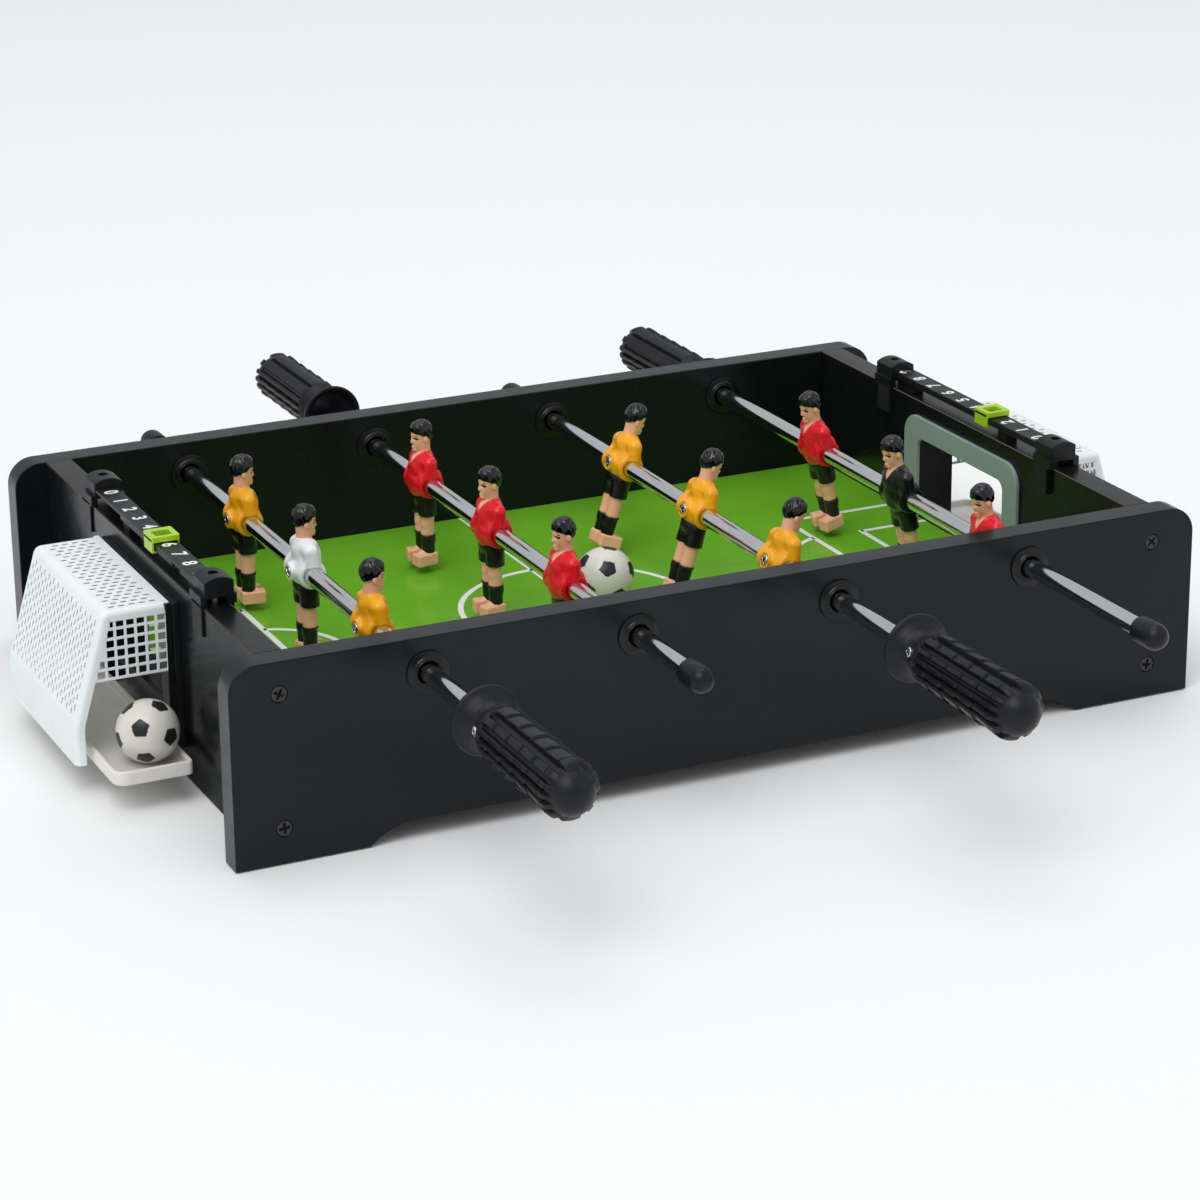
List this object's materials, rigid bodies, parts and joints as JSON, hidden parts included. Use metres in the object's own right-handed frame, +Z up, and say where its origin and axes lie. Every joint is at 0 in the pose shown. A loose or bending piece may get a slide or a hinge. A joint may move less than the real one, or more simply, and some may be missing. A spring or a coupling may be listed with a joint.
{
  "type": "tabletop foosball table",
  "caption": "Tabletop foosball table with sliding and spinning rods of painted players, netted goals, ball trays and sliding goal counters.",
  "frame": {"origin": "on the floor below the middle of the whole table as it stands, handles and goal nets included; the cabinet's own middle is 10.25 mm towards +Y", "axes": "+X along the side panels from the left goal to the right goal, +Y along the rods from the front side panel to the back one, +Z up"},
  "size_m": [0.509, 0.5796, 0.0999],
  "materials": {
    "black_laminate": "satin black laminate on fibreboard",
    "fibreboard": "bare fibreboard",
    "green_print": "glossy printed sheet",
    "bare_wood": "sawn batten",
    "dark_screw": "blackened steel",
    "black_plastic": "fine matt moulding",
    "grey_plastic": "pale grey moulding",
    "white_plastic": "smooth white moulding",
    "cream_plastic": "smooth cream moulding",
    "steel_screw": "zinc plated",
    "lime_plastic": "smooth lime moulding",
    "ball_plastic": "smooth with printed black pentagons",
    "chrome_rod": "polished plating",
    "black_grip": "satin moulding",
    "figure_yellow": "hand painted",
    "figure_red": "hand painted",
    "figure_white": "hand painted",
    "figure_black": "hand painted"
  },
  "bodies": {
    "table": {"side_panel_front": "black_laminate", "side_panel_back": "black_laminate", "end_panel_left": "black_laminate", "end_panel_right": "black_laminate", "playfield_board": "fibreboard", "playfield_sheet": "green_print", "board_battens": "bare_wood", "panel_screws_front": "dark_screw", "panel_screws_back": "dark_screw", "bushings_front": "black_plastic", "bushings_back": "black_plastic", "bushing_rings_front": "black_plastic", "bushing_rings_back": "black_plastic", "goal_frame_left": "grey_plastic", "goal_frame_right": "grey_plastic", "goal_sleeve_left": "black_plastic", "goal_sleeve_right": "black_plastic", "goal_net_left": "white_plastic", "goal_net_right": "white_plastic", "ball_tray_left": "cream_plastic", "ball_tray_right": "cream_plastic", "goal_screws": "steel_screw", "counter_rail_left": "black_plastic", "counter_rail_right": "black_plastic"},
    "counter_left": {"counter_slider_left": "lime_plastic"},
    "counter_right": {"counter_slider_right": "lime_plastic"},
    "cap_1": {"end_cap_1": "black_grip"},
    "rod_1": {"rod_1": "chrome_rod", "handle_1": "black_grip", "rod_screws_1": "steel_screw", "figure_1_front": "figure_yellow", "figure_1_keeper": "figure_white", "figure_1_back": "figure_yellow"},
    "cap_2": {"end_cap_2": "black_grip"},
    "rod_2": {"rod_2": "chrome_rod", "handle_2": "black_grip", "rod_screws_2": "steel_screw", "figure_2_front": "figure_red", "figure_2_middle": "figure_red", "figure_2_back": "figure_red"},
    "cap_3": {"end_cap_3": "black_grip"},
    "rod_3": {"rod_3": "chrome_rod", "handle_3": "black_grip", "rod_screws_3": "steel_screw", "figure_3_front": "figure_yellow", "figure_3_middle": "figure_yellow", "figure_3_back": "figure_yellow"},
    "cap_4": {"end_cap_4": "black_grip"},
    "rod_4": {"rod_4": "chrome_rod", "handle_4": "black_grip", "rod_screws_4": "steel_screw", "figure_4_front": "figure_red", "figure_4_keeper": "figure_black", "figure_4_back": "figure_red"},
    "field_ball": {"field_ball": "ball_plastic"},
    "tray_ball": {"tray_ball": "ball_plastic"}
  },
  "joints": [
    {"name": "counter_left_slide", "type": "slide", "parent": "table", "child": "counter_left", "axis": [0, 1, 0], "range_m": [-0.0486, 0.0698]},
    {"name": "counter_right_slide", "type": "slide", "parent": "table", "child": "counter_right", "axis": [0, 1, 0], "range_m": [-0.0437, 0.0747]},
    {"name": "rod_1_slide", "type": "slide", "parent": "table", "child": "cap_1", "axis": [0, 1, 0], "range_m": [-0.029, 0.0545]},
    {"name": "rod_1_spin", "type": "hinge", "parent": "cap_1", "child": "rod_1", "pos_m": [-0.13875, 0.19675, 0.0704], "axis": [0, 1, 0], "continuous": true},
    {"name": "rod_2_slide", "type": "slide", "parent": "table", "child": "cap_2", "axis": [0, 1, 0], "range_m": [-0.04, 0.0435]},
    {"name": "rod_2_spin", "type": "hinge", "parent": "cap_2", "child": "rod_2", "pos_m": [-0.04625, -0.19075, 0.0704], "axis": [0, 1, 0], "continuous": true},
    {"name": "rod_3_slide", "type": "slide", "parent": "table", "child": "cap_3", "axis": [0, 1, 0], "range_m": [-0.023, 0.0605]},
    {"name": "rod_3_spin", "type": "hinge", "parent": "cap_3", "child": "rod_3", "pos_m": [0.04625, 0.19075, 0.0704], "axis": [0, 1, 0], "continuous": true},
    {"name": "rod_4_slide", "type": "slide", "parent": "table", "child": "cap_4", "axis": [0, 1, 0], "range_m": [-0.0005, 0.083]},
    {"name": "rod_4_spin", "type": "hinge", "parent": "cap_4", "child": "rod_4", "pos_m": [0.13875, -0.23025, 0.0704], "axis": [0, 1, 0], "continuous": true},
    {"name": "field_ball_roll", "type": "slide", "parent": "table", "child": "field_ball", "axis": [0, 1, 0], "range_m": [-0.119, 0.128]},
    {"name": "tray_ball_roll", "type": "slide", "parent": "table", "child": "tray_ball", "axis": [0, 1, 0], "range_m": [0, 0.092]}
  ]
}
